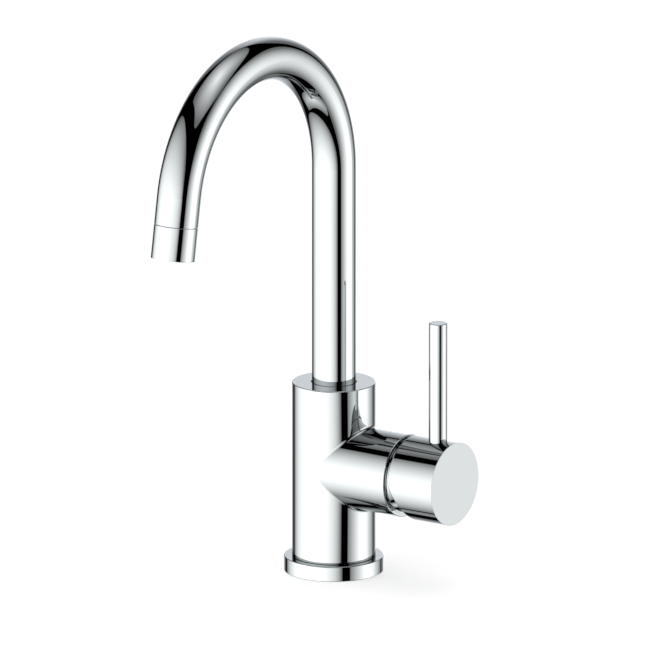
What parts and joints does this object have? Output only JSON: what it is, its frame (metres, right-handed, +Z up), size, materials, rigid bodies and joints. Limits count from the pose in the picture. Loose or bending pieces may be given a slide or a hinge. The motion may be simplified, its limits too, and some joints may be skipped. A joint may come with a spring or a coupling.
{
  "type": "kitchen faucet",
  "caption": "Single-lever kitchen faucet: swivelling gooseneck spout on a round column, with a side handle cap and slim lever rod that turn and tilt, and a round base ring.",
  "frame": {"origin": "on the deck, on the column's axis, at the mouth of the stud hole in the body's underside", "axes": "+Z up along the column, -Y the way the spout points, +X the way the handle stands out"},
  "size_m": [0.098, 0.1748, 0.2863],
  "materials": {
    "chrome": "polished chrome plate",
    "brass": "turned brass",
    "steel": "stainless steel",
    "rubber": "matt black seal rubber",
    "white_plastic": "acetal",
    "grey_plastic": "glass-filled plastic",
    "ceramic": "lapped alumina ceramic"
  },
  "bodies": {
    "faucet_body": {"base_ring": "chrome", "deck_gasket": "rubber", "base_seal": "rubber", "body": "chrome", "upper_glide_ring": "white_plastic", "spout_screw": "steel", "cartridge_base": "grey_plastic", "port_seals": "rubber", "fixed_disc": "ceramic", "cartridge_housing": "grey_plastic", "cartridge_nut": "brass", "trim_dome": "chrome"},
    "spout": {"spout_tube": "chrome", "spout_foot": "brass", "spout_seals": "rubber", "lower_glide_ring": "white_plastic", "outlet_nipple": "chrome", "aerator_housing": "chrome", "aerator_washer": "rubber", "aerator_insert": "white_plastic", "aerator_screen": "steel"},
    "cartridge_guide": {"turn_guide": "grey_plastic", "guide_seal": "rubber", "stem_pin": "steel"},
    "handle": {"stem": "steel", "handle_cap": "chrome", "lever_rod": "chrome", "handle_screw": "steel", "set_screw_plug": "chrome"},
    "mixing_disc": {"moving_disc": "ceramic", "disc_driver": "grey_plastic"}
  },
  "joints": [
    {"name": "spout_swivel", "type": "hinge", "parent": "faucet_body", "child": "spout", "pos_m": [0, 0, 0.09685], "axis": [0, 0, 1], "continuous": true},
    {"name": "handle_turn", "type": "hinge", "parent": "faucet_body", "child": "cartridge_guide", "pos_m": [0.0393, 0, 0.05495], "axis": [1, 0, 0], "range_deg": [-50, 50]},
    {"name": "handle_tilt", "type": "hinge", "parent": "cartridge_guide", "child": "handle", "pos_m": [0.0393, 0, 0.05495], "axis": [0, 1, 0], "range_deg": [0, 20]},
    {"name": "disc_slide", "type": "slide", "parent": "cartridge_guide", "child": "mixing_disc", "axis": [0, 0, 1], "range_m": [0, 0.0043]}
  ],
  "couplings": [
    {"joint": "disc_slide", "follows": "handle_tilt", "m_per_rad": 0.01205}
  ]
}
